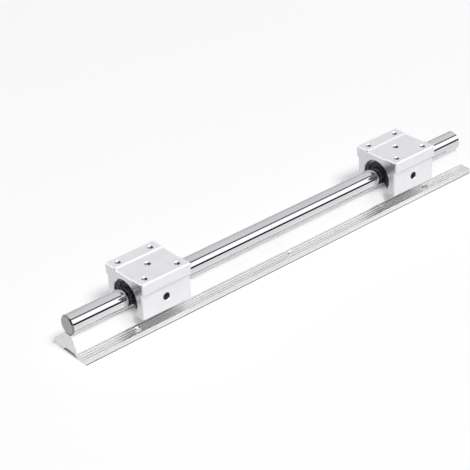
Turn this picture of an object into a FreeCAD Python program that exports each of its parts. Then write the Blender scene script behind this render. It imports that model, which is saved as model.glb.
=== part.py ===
"""Supported round rail: an extruded aluminium base that carries a hardened round shaft along its
whole length, with two open bearing carriages that run on the shaft.

X runs along the rail, Y across it and Z up. The origin is on the underside of the base, at the
middle of its length and width. Sizes are in millimetres.
"""
import FreeCAD, Part
import os
import Sketcher

SIZES = {
    "rail_length": 400,
    "base_width": 40,
    "flange_thickness": 5,
    "flange_edge_chamfer": 0.4,
    "pedestal_height": 17.8,
    "pedestal_foot_width": 18.4,
    "pedestal_neck_width": 7.8,
    "pedestal_foot_radius": 1.0,
    "base_recess_width": 18,
    "base_recess_ceiling": 11,
    "base_recess_depth": 3.4,
    "flange_hole_diameter": 5.5,
    "flange_hole_spacing": 30,
    "hole_pitch": 150,
    "shaft_diameter": 16,
    "shaft_height": 25,
    "shaft_chamfer": 1.0,
    "seat_gap": 0.05,
    "screw_diameter": 5,
    "screw_hole_gap": 0.25,
    "screw_engagement": 8,
    "tapped_hole_runout": 1,
    "screw_thread_gap": 0.05,
    "screw_head_diameter": 8.5,
    "screw_head_height": 5,
    "screw_head_gap": 0.5,
    "screw_key": 4,
    "screw_key_depth": 2.5,
    "screw_seat_height": 9.6,
    "housing_width": 45,
    "housing_length": 45,
    "housing_top": 20,
    "housing_bottom": 11,
    "shoulder_depth": 9,
    "shoulder_inset": 2.0,
    "shoulder_slope": 1.0,
    "channel_width": 20,
    "channel_depth": 0.8,
    "channel_slope": 1.0,
    "leg_opening": 18.6,
    "leg_chamfer": 0.6,
    "bore_diameter": 28,
    "ring_groove_depth": 0.8,
    "mount_hole_diameter": 4.2,
    "mount_hole_depth": 12,
    "mount_spacing_across": 32,
    "mount_spacing_along": 30,
    "grease_hole_diameter": 5,
    "set_screw_diameter": 6,
    "set_screw_key": 3,
    "set_screw_key_depth": 2.5,
    "set_screw_recess": 0.6,
    "bushing_length": 37,
    "bushing_wall": 1.8,
    "bushing_gap": 0.03,
    "opening_angle": 80,
    "retainer_gap": 0.4,
    "seal_thickness": 2.2,
    "seal_gap": 0.05,
    "seal_recess": 0.3,
    "ring_thickness": 1.3,
    "ring_height": 1.9,
    "ring_gap": 0.04,
    "ring_opening_angle": 96,
    "near_carriage_from_end": 52,
    "far_carriage_from_end": 46.5,
}

STATIONS = ["-hole_pitch", "0", "hole_pitch"]

document = FreeCAD.newDocument("supported_round_rail")
sheet = document.addObject("Spreadsheet::Sheet", "sizes")
for row, (alias, number) in enumerate(SIZES.items(), start=1):
    sheet.set("A%d" % row, alias)
    sheet.set("B%d" % row, str(number))
    sheet.setAlias("B%d" % row, alias)
document.recompute()


def size(alias):
    """The number in the named cell."""
    return float(sheet.get(alias))


def named(text):
    """An expression with each size name pointed at its cell."""
    words = []
    word = ""
    for letter in text + " ":
        if letter.isalnum() or letter in "_.":
            word += letter
            continue
        words.append("sizes." + word if word in SIZES else word)
        words.append(letter)
        word = ""
    return "".join(words).strip()


def value(text):
    """The number that such an expression has now."""
    return float(sheet.evalExpression(named(text)))


def new_body(label):
    """An empty body under the given label."""
    body = document.addObject("PartDesign::Body", label)
    body.Label = label
    return body


def plane(body, role):
    """One of the body's own origin planes."""
    return next(item for item in body.Origin.OriginFeatures if item.Role == role)


def new_sketch(body, name, role, offset=None):
    """A sketch on an origin plane of the body, moved along its normal by an expression."""
    sketch = body.newObject("Sketcher::SketchObject", name)
    sketch.AttachmentSupport = [(plane(body, role), "")]
    sketch.MapMode = "FlatFace"
    if offset is not None:
        sketch.setExpression("AttachmentOffset.Base.z", named(offset))
    return sketch


def pin_point(sketch, geometry, end, across, up):
    """Ties one point of the sketch to two expressions, measured from the sketch's origin."""
    for kind, text in (("DistanceX", across), ("DistanceY", up)):
        number = value(text)
        if abs(number) < 1e-9 and text == "0":
            axis = -2 if kind == "DistanceX" else -1
            sketch.addConstraint(Sketcher.Constraint("PointOnObject", geometry, end, axis))
            continue
        index = sketch.addConstraint(Sketcher.Constraint(kind, -1, 1, geometry, end, number))
        sketch.setExpression("Constraints[%d]" % index, named(text))


def polygon(sketch, corners):
    """A closed outline through corners, each a pair of expressions."""
    points = [FreeCAD.Vector(value(across), value(up), 0) for across, up in corners]
    count = len(points)
    first = sketch.GeometryCount
    for index, start in enumerate(points):
        sketch.addGeometry(Part.LineSegment(start, points[(index + 1) % count]), False)
    for index in range(count):
        following = first + (index + 1) % count
        sketch.addConstraint(Sketcher.Constraint("Coincident", first + index, 2, following, 1))
    for index, (across, up) in enumerate(corners):
        pin_point(sketch, first + index, 1, across, up)


def circle(sketch, across, up, diameter):
    """A circle with its centre and its diameter tied to expressions."""
    centre = FreeCAD.Vector(value(across), value(up), 0)
    index = sketch.GeometryCount
    sketch.addGeometry(Part.Circle(centre, FreeCAD.Vector(0, 0, 1), value(diameter) / 2), False)
    pin_point(sketch, index, 3, across, up)
    width = sketch.addConstraint(Sketcher.Constraint("Diameter", index, value(diameter)))
    sketch.setExpression("Constraints[%d]" % width, named(diameter))


def hexagon(sketch, key):
    """A regular hexagon about the sketch's origin, measured across its flats."""
    corner = "(%s) / sqrt(3)" % key
    flat = "(%s) / 2" % key
    half = "(%s) / (2 * sqrt(3))" % key
    polygon(sketch, [("0", corner), (flat, half), (flat, "-" + half),
                     ("0", "-" + corner), ("-" + flat, "-" + half), ("-" + flat, half)])


def pad(body, sketch, length, symmetric=False):
    """Thickens a sketch by an expression."""
    feature = body.newObject("PartDesign::Pad", sketch.Name + "_pad")
    feature.Profile = sketch
    feature.Length = value(length)
    feature.setExpression("Length", named(length))
    feature.Midplane = symmetric
    return feature


def pocket(body, sketch, length=None, reverse=False, symmetric=False):
    """Cuts a sketch through the body, or to the depth of an expression."""
    document.recompute()
    before = body.Shape.Volume
    feature = body.newObject("PartDesign::Pocket", sketch.Name + "_cut")
    feature.Profile = sketch
    feature.Midplane = symmetric
    feature.Reversed = reverse
    if length is None:
        feature.Type = "ThroughAll"
    else:
        feature.Length = value(length)
        feature.setExpression("Length", named(length))
    document.recompute()
    if body.Shape.Volume > before - 0.01:
        raise RuntimeError(feature.Name + " removes nothing")
    return feature


def turn(body, sketch, kind, axis):
    """Turns a sketch right round one of its own axes, as a solid or as a cut."""
    feature = body.newObject("PartDesign::" + kind, sketch.Name + "_turned")
    feature.Profile = sketch
    feature.ReferenceAxis = (sketch, [axis])
    feature.Angle = 360
    return feature


def place(body, along="0", across="0", up="0"):
    """Ties the body's place to three expressions."""
    for axis, text in (("x", along), ("y", across), ("z", up)):
        body.setExpression("Placement.Base." + axis, named(text))


def dress(body, kind, name, amount, width, test):
    """Rounds or chamfers each edge of the body whose middle passes the test."""
    document.recompute()
    base = body.Tip
    names = []
    for index, edge in enumerate(base.Shape.Edges, start=1):
        middle = edge.valueAt((edge.FirstParameter + edge.LastParameter) / 2)
        if test(middle, edge):
            names.append("Edge%d" % index)
    feature = body.newObject("PartDesign::" + kind, name)
    feature.Base = (base, names)
    feature.setExpression(amount, named(width))
    document.recompute()
    return feature


def mirrored(half):
    """The half outline given from the top down at positive Y, closed by its own mirror image."""
    return half + [("-" + across, up) for across, up in reversed(half)]


def support_rail():
    """The extruded base: two drilled flanges, a tapering pedestal and the saddle for the shaft."""
    body = new_body("support_rail")
    section = new_sketch(body, "rail_section", "YZ_Plane", "-rail_length / 2")
    polygon(section, mirrored([
        ("(pedestal_neck_width / 2)", "pedestal_height"),
        ("(pedestal_foot_width / 2)", "flange_thickness"),
        ("(base_width / 2 - flange_edge_chamfer)", "flange_thickness"),
        ("(base_width / 2)", "flange_thickness - flange_edge_chamfer"),
        ("(base_width / 2)", "flange_edge_chamfer"),
        ("(base_width / 2 - flange_edge_chamfer)", "0"),
        ("(base_recess_width / 2)", "0"),
        ("(base_recess_ceiling / 2)", "base_recess_depth")]))
    pad(body, section, "rail_length")
    foot = size("pedestal_foot_width") / 2
    top = size("flange_thickness")
    dress(body, "Fillet", "pedestal_foot_rounds", "Radius", "pedestal_foot_radius",
          lambda middle, edge: abs(abs(middle.y) - foot) < 0.01 and abs(middle.z - top) < 0.01)

    saddle = new_sketch(body, "saddle", "YZ_Plane", "rail_length / 2")
    circle(saddle, "0", "shaft_height", "shaft_diameter + 2 * seat_gap")
    pocket(body, saddle)

    flange_holes = new_sketch(body, "flange_holes", "XY_Plane", "flange_thickness")
    for station in STATIONS:
        for side in ("-flange_hole_spacing / 2", "flange_hole_spacing / 2"):
            circle(flange_holes, station, side, "flange_hole_diameter")
    pocket(body, flange_holes)

    head_holes = new_sketch(body, "screw_head_holes", "XY_Plane")
    for station in STATIONS:
        circle(head_holes, station, "0", "screw_head_diameter + 2 * screw_head_gap")
    pocket(body, head_holes, "screw_seat_height", reverse=True)

    shank_holes = new_sketch(body, "screw_shank_holes", "XY_Plane")
    for station in STATIONS:
        circle(shank_holes, station, "0", "screw_diameter + 2 * screw_hole_gap")
    pocket(body, shank_holes, reverse=True)
    return body


def round_shaft():
    """The ground shaft, chamfered at both ends and tapped from below for its screws."""
    body = new_body("round_shaft")
    outline = new_sketch(body, "shaft_outline", "XZ_Plane")
    end = "(rail_length / 2)"
    shoulder = "(rail_length / 2 - shaft_chamfer)"
    radius = "(shaft_diameter / 2)"
    polygon(outline, [("-" + end, "0"), ("-" + end, radius + " - shaft_chamfer"), ("-" + shoulder, radius),
                      (shoulder, radius), (end, radius + " - shaft_chamfer"), (end, "0")])
    turn(body, outline, "Revolution", "H_Axis")
    document.recompute()

    tapped = new_sketch(body, "tapped_holes", "XY_Plane", "-shaft_diameter / 2")
    for station in STATIONS:
        circle(tapped, station, "0", "screw_diameter")
    pocket(body, tapped, "screw_engagement + tapped_hole_runout", reverse=True)
    place(body, up="shaft_height")
    return body


def shaft_screw(number, station):
    """A socket head screw that holds the shaft down from under the base, with its tip up."""
    body = new_body("shaft_screw_%d" % number)
    outline = new_sketch(body, "screw_outline", "XZ_Plane")
    head = "(screw_head_diameter / 2)"
    shank = "(screw_diameter / 2 - screw_thread_gap)"
    tip = "(shaft_height - shaft_diameter / 2 + screw_engagement - screw_seat_height)"
    polygon(outline, [("0", "-screw_head_height"), (head, "-screw_head_height"), (head, "0"),
                      (shank, "0"), (shank, tip), ("0", tip)])
    turn(body, outline, "Revolution", "V_Axis")
    document.recompute()
    socket = new_sketch(body, "screw_socket", "XY_Plane", "-screw_head_height")
    hexagon(socket, "screw_key")
    pocket(body, socket, "screw_key_depth", reverse=True)
    place(body, along=station, up="screw_seat_height")
    return body


def housing(side, where):
    """The carriage's extruded housing, open below so that it clears the pedestal."""
    body = new_body(side + "_housing")
    section = new_sketch(body, side + "_housing_section", "YZ_Plane")
    edge = "(housing_width / 2)"
    lower = "(housing_width / 2 - shoulder_inset)"
    polygon(section, mirrored([
        ("(channel_width / 2)", "housing_top - channel_depth"),
        ("(channel_width / 2 + channel_slope)", "housing_top"),
        (edge, "housing_top"),
        (edge, "housing_top - shoulder_depth"),
        (lower, "housing_top - shoulder_depth - shoulder_slope"),
        (lower, "-housing_bottom + leg_chamfer"),
        ("(%s - leg_chamfer)" % lower, "-housing_bottom"),
        ("(leg_opening / 2)", "-housing_bottom")]))
    pad(body, section, "housing_length", symmetric=True)
    document.recompute()

    bore = new_sketch(body, side + "_bore", "YZ_Plane")
    circle(bore, "0", "0", "bore_diameter")
    pocket(body, bore, "2 * housing_length", symmetric=True)

    opening = new_sketch(body, side + "_leg_opening", "YZ_Plane")
    leg = "(leg_opening / 2)"
    below = "-2 * housing_bottom"
    polygon(opening, [(leg, "0"), ("-" + leg, "0"), ("-" + leg, below), (leg, below)])
    pocket(body, opening, "2 * housing_length", symmetric=True)

    ring_grooves = new_sketch(body, side + "_ring_grooves", "XZ_Plane")
    air = "(bore_diameter / 2 - bushing_wall)"
    groove_near = "(bushing_length / 2)"
    groove_far = "(bushing_length / 2 + ring_thickness + 2 * ring_gap)"
    groove_wall = "(bore_diameter / 2 + ring_groove_depth)"
    for sign in ("", "-"):
        polygon(ring_grooves, [(sign + groove_near, air), (sign + groove_near, groove_wall),
                               (sign + groove_far, groove_wall), (sign + groove_far, air)])
    turn(body, ring_grooves, "Groove", "H_Axis")
    document.recompute()

    mount_holes = new_sketch(body, side + "_mount_holes", "XY_Plane", "housing_top")
    corners = [(along + "mount_spacing_along / 2", across + "mount_spacing_across / 2")
               for along in ("", "-") for across in ("", "-")]
    for along, across in corners:
        circle(mount_holes, along, across, "mount_hole_diameter")
    pocket(body, mount_holes, "mount_hole_depth")

    grease_hole = new_sketch(body, side + "_grease_hole", "XY_Plane", "housing_top")
    circle(grease_hole, "0", "0", "grease_hole_diameter")
    pocket(body, grease_hole, "housing_top")

    screw_hole = new_sketch(body, side + "_set_screw_hole", "XZ_Plane")
    circle(screw_hole, "0", "0", "set_screw_diameter")
    pocket(body, screw_hole, "housing_width", reverse=True)
    place(body, along=where, up="shaft_height")
    return body


def open_ring(label, inner, outer, start, end, angle):
    """A ring about X from start to end, open below by the given angle."""
    body = new_body(label)
    outline = new_sketch(body, label + "_outline", "XZ_Plane")
    polygon(outline, [(start, inner), (start, outer), (end, outer), (end, inner)])
    arc = body.newObject("PartDesign::Revolution", label + "_turned")
    arc.Profile = outline
    arc.ReferenceAxis = (outline, ["H_Axis"])
    arc.setExpression("Angle", named("360 - " + angle))
    arc.Midplane = True
    return body


BORE = "(bore_diameter / 2 - bushing_gap)"
SLEEVE_INSIDE = "(bore_diameter / 2 - bushing_gap - bushing_wall)"
BUSHING_END = "(bushing_length / 2)"


def sleeve(side, where):
    """The bushing's hardened steel sleeve."""
    body = open_ring(side + "_sleeve", SLEEVE_INSIDE, BORE, "-" + BUSHING_END, BUSHING_END,
                     "opening_angle")
    place(body, along=where, up="shaft_height")
    return body


def retainer(side, where):
    """The moulded ball retainer between the sleeve and the shaft."""
    end = "(bushing_length / 2 - seal_recess - seal_thickness - seal_gap)"
    body = open_ring(side + "_retainer", "(shaft_diameter / 2 + retainer_gap)",
                     SLEEVE_INSIDE + " - bushing_gap", "-" + end, end, "opening_angle")
    place(body, along=where, up="shaft_height")
    return body


def seal(side, name, sign, where):
    """A rubber wiper at one end of the bushing, whose lip runs on the shaft."""
    inner_face = sign + "(bushing_length / 2 - seal_recess - seal_thickness)"
    outer_face = sign + "(bushing_length / 2 - seal_recess)"
    body = open_ring("%s_%s_seal" % (side, name), "(shaft_diameter / 2 + seal_gap)",
                     SLEEVE_INSIDE + " - bushing_gap", inner_face, outer_face, "opening_angle")
    place(body, along=where, up="shaft_height")
    return body


def snap_ring(side, name, sign, where):
    """A spring steel ring in the housing's groove, which holds the bushing in."""
    start = sign + "(bushing_length / 2 + ring_gap)"
    end = sign + "(bushing_length / 2 + ring_gap + ring_thickness)"
    outer = "(bore_diameter / 2 + ring_groove_depth - ring_gap)"
    inner = "(bore_diameter / 2 + ring_groove_depth - ring_gap - ring_height)"
    body = open_ring("%s_%s_snap_ring" % (side, name), inner, outer, start, end, "ring_opening_angle")
    place(body, along=where, up="shaft_height")
    return body


def set_screw(side, where):
    """The socket set screw in the housing's side, which stops the bushing from turning."""
    body = new_body(side + "_set_screw")
    outline = new_sketch(body, side + "_set_screw_outline", "XZ_Plane")
    radius = "(set_screw_diameter / 2 - screw_thread_gap)"
    circle(outline, "0", "0", "2 * " + radius)
    length = ("(housing_width / 2 - shoulder_inset - set_screw_recess"
              " - bore_diameter / 2 - screw_thread_gap)")
    pad(body, outline, length)
    document.recompute()
    socket = new_sketch(body, side + "_set_screw_socket", "XZ_Plane", length)
    hexagon(socket, "set_screw_key")
    pocket(body, socket, "set_screw_key_depth")
    place(body, along=where, across="-(bore_diameter / 2 + screw_thread_gap)", up="shaft_height")
    return body


def carriage(side, where):
    """All pieces of one carriage, centred along the rail at the given place."""
    pieces = [housing(side, where), sleeve(side, where), retainer(side, where), set_screw(side, where)]
    for name, sign in (("front", "-"), ("rear", "")):
        pieces.append(seal(side, name, sign, where))
        pieces.append(snap_ring(side, name, sign, where))
    return pieces


def build():
    """Makes every sub-part."""
    pieces = [support_rail(), round_shaft()]
    for number, station in enumerate(STATIONS, start=1):
        pieces.append(shaft_screw(number, station))
    pieces += carriage("near", "-(rail_length / 2 - near_carriage_from_end - housing_length / 2)")
    pieces += carriage("far", "(rail_length / 2 - far_carriage_from_end - housing_length / 2)")
    return pieces


def check(pieces):
    """Stops the build where a feature failed or a sub-part has no sound solid."""
    for item in document.Objects:
        if "Invalid" in item.State or "Error" in item.State:
            raise RuntimeError("%s failed: %s" % (item.Name, item.State))
    for piece in pieces:
        if piece.Shape.isNull() or not piece.Shape.isValid() or len(piece.Shape.Solids) != 1:
            raise RuntimeError(piece.Label + " has no sound solid")


parts = build()
document.recompute()
check(parts)
os.makedirs("parts", exist_ok=True)
for part in parts:
    part.Shape.exportStep("parts/%s.step" % part.Label)
    box = part.Shape.BoundBox
    print("%-24s volume %9.1f  X %7.2f %7.2f  Y %6.2f %6.2f  Z %6.2f %6.2f" % (
        part.Label, part.Shape.Volume, box.XMin, box.XMax, box.YMin, box.YMax, box.ZMin, box.ZMax))
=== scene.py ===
"""Supported round rail: a hardened shaft on an extruded aluminium base, with two open bearing carriages.

Every length is in metres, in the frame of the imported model: X along the rail, Y across it, Z up.
"""
import math

import bmesh
import bpy
from mathutils import Matrix, Vector

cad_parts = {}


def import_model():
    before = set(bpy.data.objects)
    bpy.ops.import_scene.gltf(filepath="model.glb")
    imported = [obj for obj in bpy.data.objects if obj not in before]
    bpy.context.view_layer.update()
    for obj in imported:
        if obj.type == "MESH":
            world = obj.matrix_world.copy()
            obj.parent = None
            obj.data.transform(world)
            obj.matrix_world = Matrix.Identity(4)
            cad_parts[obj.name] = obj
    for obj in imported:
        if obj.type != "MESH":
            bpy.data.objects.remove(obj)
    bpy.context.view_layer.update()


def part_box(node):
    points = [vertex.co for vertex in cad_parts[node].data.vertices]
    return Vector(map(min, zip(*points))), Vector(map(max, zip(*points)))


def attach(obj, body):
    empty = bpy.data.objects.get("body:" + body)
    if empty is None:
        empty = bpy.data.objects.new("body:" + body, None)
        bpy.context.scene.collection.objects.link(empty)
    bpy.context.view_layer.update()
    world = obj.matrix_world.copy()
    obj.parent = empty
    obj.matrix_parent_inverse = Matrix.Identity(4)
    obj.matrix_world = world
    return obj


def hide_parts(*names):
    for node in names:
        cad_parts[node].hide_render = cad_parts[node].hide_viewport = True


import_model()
MM = 0.001

# How far a cutter passes the surface that it cuts
OVERRUN = 1 * MM
# The round of a corner that looks sharp, and the least angle of a crisp edge
SHARP = 0.02 * MM
CREASE = math.radians(28)
# How far a face may be off the place by which it is given its finish
FACE_SLACK = 0.1 * MM
HOLE_SLACK = 0.02 * MM
# A painted piece's ends have this number among its materials
ENDS = 1
# The facets of each curve
SHAFT_STEPS = 256
BUSHING_STEPS = 160
BORE_STEPS = 128
HOLE_STEPS = 64
TAPPED_STEPS = 48
THREAD_STEPS = 28
SADDLE_STEPS = 24
CORNER_STEPS = 4
RIDGE_SIDES = 4

# The rail and the shaft, read from the frame where it holds their sizes
rail_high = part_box("support_rail")[1]
shaft_low, shaft_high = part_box("round_shaft")
RAIL_HALF = rail_high.x
BASE_HALF = rail_high.y
SHAFT_RADIUS = (shaft_high.z - shaft_low.z) / 2
SHAFT_HEIGHT = (shaft_high.z + shaft_low.z) / 2
SHAFT_CHAMFER = 1 * MM
SEAT_GAP = 0.05 * MM
SADDLE_LIP = 0.35 * MM
NECK_HALF = 3.9 * MM
NECK_ROUND = 0.25 * MM
FOOT_HALF = 9.2 * MM
FOOT_ROUND = 1 * MM
FLANGE = 5 * MM
TIP_ROUND = 0.5 * MM
LOWER_ROUND = 0.8 * MM
# The height and width of the band along the base's lower outer corners that carries the painted contact
# shadow
CONTACT_SHADOW_HEIGHT = 1 * MM
CONTACT_SHADOW_WIDTH = 1 * MM
SAWN_BEVEL = 0.1 * MM
RECESS_FOOT_HALF = 9 * MM
RECESS_FOOT_ROUND = 0.3 * MM
RECESS_CEILING_HALF = 5.5 * MM
RECESS_CEILING_ROUND = 0.5 * MM
RECESS_DEPTH = 3.4 * MM
GROOVES = 4
FIRST_GROOVE = 10.95 * MM
GROOVE_PITCH = 2.65 * MM
GROOVE_WIDTH = 1.1 * MM
GROOVE_DEPTH = 0.26 * MM
GROOVE_FLOOR = 0.12 * MM

# The rail's holes and screws
HOLE_PITCH = 150 * MM
STATIONS = (-HOLE_PITCH, 0, HOLE_PITCH)
HOLE_ACROSS = 15 * MM
FLANGE_HOLE_RADIUS = 2.75 * MM
HOLE_BEVEL = 0.25 * MM
TAPPED_DEPTH = 9 * MM
SCREW_RADIUS = 2.5 * MM
SCREW_GAP = 0.05 * MM
SCREW_HOLE_RADIUS = 2.75 * MM
SCREW_EDGE = 0.5 * MM
SCREW_SEAT = 9.6 * MM
SCREW_HEAD_RADIUS = 4.25 * MM
SCREW_HEAD_HOLE_RADIUS = 4.75 * MM
SCREW_HEAD_HEIGHT = 5 * MM
SCREW_KEY = 4 * MM
KEY_DEPTH = 2.5 * MM

# The housings, with heights from the shaft's axis
HOUSING_HALF = 22.5 * MM
HOUSING_TOP = 20 * MM
HOUSING_BOTTOM = 11 * MM
SHOULDER_DEPTH = 9 * MM
SHOULDER_INSET = 2 * MM
SHOULDER_SLOPE = 1 * MM
EDGE_CHAMFER = 0.85 * MM
CORNER_ROUND = 0.3 * MM
SHOULDER_ROUND = 0.2 * MM
END_BEVEL = 0.7 * MM
CHANNEL_HALF = 10 * MM
CHANNEL_DEPTH = 0.8 * MM
CHANNEL_SLOPE = 1 * MM
CHANNEL_FOOT_ROUND = 0.15 * MM
CHANNEL_EDGE_ROUND = 0.25 * MM
LEG_HALF = 9.3 * MM
LEG_ROUND = 0.5 * MM
LEG_WALL_LEAST = 0.05 * MM
BORE_RADIUS = 14 * MM
AIR_RADIUS = 10 * MM

# The housings' holes
MOUNT_ALONG = 15 * MM
MOUNT_ACROSS = 16 * MM
MOUNT_DEPTH = 12 * MM
DRILL_POINT = 1.2 * MM
COUNTERSINK = 0.5 * MM
GREASE_DEPTH = 10 * MM
GREASE_RIM = 0.8 * MM
GREASE_THROAT = 0.15 * MM
THREAD_RADIUS = 2.5 * MM
THREAD_CORE = 2.1 * MM
THREAD_PITCH = 0.8 * MM
THREAD_RUNOUT = 0.5 * MM
MOUNT_THREAD = 10.3 * MM
GREASE_THREAD = 5 * MM
RIDGE_SINK = 0.1 * MM
RIDGE_SHARE = 0.62
SET_SCREW_RADIUS = 3 * MM
SET_SCREW_GAP = 0.05 * MM
SET_SCREW_RIM = 0.4 * MM
SET_SCREW_RECESS = 0.6 * MM
SET_SCREW_KEY = 3 * MM
SOCKET_REACH = 1.8 * MM

# The bushings
BUSHING_HALF = 18.5 * MM
BUSHING_GAP = 0.03 * MM
BUSHING_SWEEP = 280
SLEEVE_WALL = 1.8 * MM
SLEEVE_EDGE = 0.35 * MM
RETAINER_GAP = 0.4 * MM
RETAINER_INSET = 2.55 * MM
SEAL_THICKNESS = 2.2 * MM
SEAL_RECESS = 0.3 * MM
SEAL_GAP = 0.05 * MM
SEAL_EDGE = 0.2 * MM
SEAL_ROOT = 0.8 * MM
# The seal's face and lip, each point by how far it is behind the face and over the lip's edge
SEAL_LIP = [(0, 2.6 * MM), (0.35 * MM, 2.3 * MM), (0.35 * MM, 1.2 * MM), (0.05 * MM, 0.35 * MM),
            (0.1 * MM, 0), (0.5 * MM, 0), (1.2 * MM, SEAL_ROOT)]
RING_GROOVE_DEPTH = 0.8 * MM
RING_GROOVE_WIDTH = 1.38 * MM
RING_THICKNESS = 1.3 * MM
RING_HEIGHT = 1.9 * MM
RING_GAP = 0.04 * MM
RING_EDGE = 0.15 * MM
RING_SWEEP = 264

# The studio. The surround's levels go by degrees round the rail from the horizon in front, 90 overhead
BANDS = [(-180, 0.78), (2, 0.98), (3, 0.0), (20.5, 0.0), (22.5, 1.5), (62, 1.5), (66.5, 0.0),
         (75.5, 0.0), (79, 0.9), (135, 0.86), (158, 0.66)]
BAND_CAST = 1.01
DIFFUSE_LEVEL = 0.12
NEAR_LEVEL = 0.05
BACK_LEVEL = 1.1

# The surround is dim past the near end, up to a slope, and bright at the back, over a slope and short
# of the far end. Each pair says where that change starts and where it is complete.
NEAR_END = (-0.2, -0.36)
NEAR_SLOPE = (math.radians(95), math.radians(112))
FAR_END = (0.42, 0.3)
BACK_SLOPE = (math.radians(116), math.radians(126))

# The floor and the lamp
FLOOR_HALF = 6.0
FLOOR_TONE = 0.88
FLOOR_GLOW = 0.02
LAMP_PLACE = (-1.25, -8.75, 15.0)
LAMP_SIZE = 8.0
LAMP_POWER = 3520

# The photograph's view: its width in pixels, where it looks, from how far and by which angles
PICTURE = 470
FOCAL_PIXELS = 1557.8
VIEW_TARGET = Vector((-0.0390, 0.0042, 0.030))
VIEW_DISTANCE = 1.193
AZIMUTH, ELEVATION, ROLL = math.radians(-38.72), math.radians(30.63), math.radians(-3.30)


# Mesh making

def new_object(name, mesh):
    """A scene object for a mesh, at the origin."""
    piece = bpy.data.objects.new(name, mesh)
    bpy.context.scene.collection.objects.link(piece)
    return piece


def from_bmesh(name, work):
    """Turns a bmesh into an object with outward faces."""
    bmesh.ops.remove_doubles(work, verts=work.verts, dist=1e-7)
    bmesh.ops.recalc_face_normals(work, faces=work.faces)
    mesh = bpy.data.meshes.new(name)
    work.to_mesh(mesh)
    work.free()
    return new_object(name, mesh)


def baked(piece):
    """Turns a piece with its modifiers into a plain mesh without them."""
    bpy.context.view_layer.update()
    graph = bpy.context.evaluated_depsgraph_get()
    mesh = bpy.data.meshes.new_from_object(piece.evaluated_get(graph))
    old = piece.data
    piece.modifiers.clear()
    piece.data = mesh
    if old.users == 0:
        bpy.data.meshes.remove(old)


def arc(centre, radius, start, end, steps):
    """Points of a circular arc, with both its ends, between two angles in degrees."""
    points = []
    for step in range(steps + 1):
        angle = math.radians(start + (end - start) * step / steps)
        points.append((centre[0] + radius * math.cos(angle), centre[1] + radius * math.sin(angle)))
    return points


def rounded(corners):
    """An outline whose corners, each (across, up, radius), are rounded."""
    points = []
    count = len(corners)
    for index, (across, up, radius) in enumerate(corners):
        here = Vector((across, up))
        if radius == 0:
            points.append((across, up))
            continue
        before = (Vector(corners[index - 1][:2]) - here).normalized()
        after = (Vector(corners[(index + 1) % count][:2]) - here).normalized()
        half = before.angle(after) / 2
        reach = radius / math.tan(half)
        centre = here + (before + after).normalized() * radius / math.sin(half)
        first = here + before * reach - centre
        last = here + after * reach - centre
        turn = first.angle_signed(last)
        for step in range(CORNER_STEPS + 1):
            spoke = first.copy()
            spoke.rotate(Matrix.Rotation(-turn * step / CORNER_STEPS, 2))
            points.append(tuple(centre + spoke))
    return points


def drawn_in(corners, margin):
    """The clockwise corners of an outline moved inwards by a margin, with their rounds to match."""
    moved = []
    count = len(corners)
    for index, (across, up, radius) in enumerate(corners):
        here = Vector((across, up))
        before = (here - Vector(corners[index - 1][:2])).normalized()
        after = (Vector(corners[(index + 1) % count][:2]) - here).normalized()
        inner = Vector((before.y + after.y, -before.x - after.x)) / (1 + before.dot(after))
        outwards = before.x * after.y - before.y * after.x < 0
        fitted = max(radius - margin, SHARP) if outwards else radius + margin
        moved.append((*(here + inner * margin), fitted if radius else 0))
    return moved


def prism(name, outline, tip, start, end, bevel):
    """A bar along X, whose section of (Y, Z) points narrows over a bevel to the tip outline at both ends."""
    work = bmesh.new()
    sections = ((start, tip), (start + bevel, outline), (end - bevel, outline), (end, tip))
    rings = [[work.verts.new((along, across, up)) for across, up in points] for along, points in sections]
    count = len(outline)
    for here, there in zip(rings, rings[1:]):
        for index in range(count):
            after = (index + 1) % count
            work.faces.new((here[index], here[after], there[after], there[index]))
    work.faces.new(rings[0])
    work.faces.new(rings[-1])
    return from_bmesh(name, work)


def on_axis(axis, along, side, up):
    """A point given by its places along an axis, beside it and above it."""
    if axis == "X":
        return Vector((along, side, up))
    if axis == "Y":
        return Vector((side, along, up))
    return Vector((side, up, along))


def lathe(name, profile, steps, place, axis="X", sweep=360.0):
    """A solid turned about an axis through a place. The profile is a closed loop of (along, radius).

    With a sweep under 360 degrees it is an open ring about X, with its gap at the bottom.
    """
    work = bmesh.new()
    whole = sweep >= 360.0
    count = steps if whole else steps + 1
    rings = []
    for step in range(count):
        angle = math.radians(-sweep / 2 + sweep * step / steps)
        ring = []
        for along, radius in profile:
            point = on_axis(axis, along, radius * math.sin(angle), radius * math.cos(angle))
            ring.append(work.verts.new(point + Vector(place)))
        rings.append(ring)
    points = len(profile)
    for step in range(steps):
        here, there = rings[step], rings[(step + 1) % count]
        for index in range(points):
            after = (index + 1) % points
            work.faces.new((here[index], here[after], there[after], there[index]))
    if not whole:
        work.faces.new(rings[0])
        work.faces.new(rings[-1])
    return from_bmesh(name, work)


def hexagon_bar(name, across_flats, start, end, place, axis):
    """A six-sided bar that cuts a key's socket."""
    corner = across_flats / math.sqrt(3)
    work = bmesh.new()
    ends = []
    for along in (start, end):
        ring = []
        for step in range(6):
            angle = math.radians(30 + 60 * step)
            point = on_axis(axis, along, corner * math.cos(angle), corner * math.sin(angle))
            ring.append(work.verts.new(point + Vector(place)))
        ends.append(ring)
    for step in range(6):
        after = (step + 1) % 6
        work.faces.new((ends[0][step], ends[0][after], ends[1][after], ends[1][step]))
    work.faces.new(ends[0])
    work.faces.new(ends[1])
    return from_bmesh(name, work)


def cut(piece, cutters):
    """Takes every cutter's shape away from a piece and deletes the cutters."""
    for cutter in cutters:
        modifier = piece.modifiers.new("cut", "BOOLEAN")
        modifier.operation = "DIFFERENCE"
        modifier.solver = "EXACT"
        modifier.object = cutter
        baked(piece)
        bpy.data.objects.remove(cutter)


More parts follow.
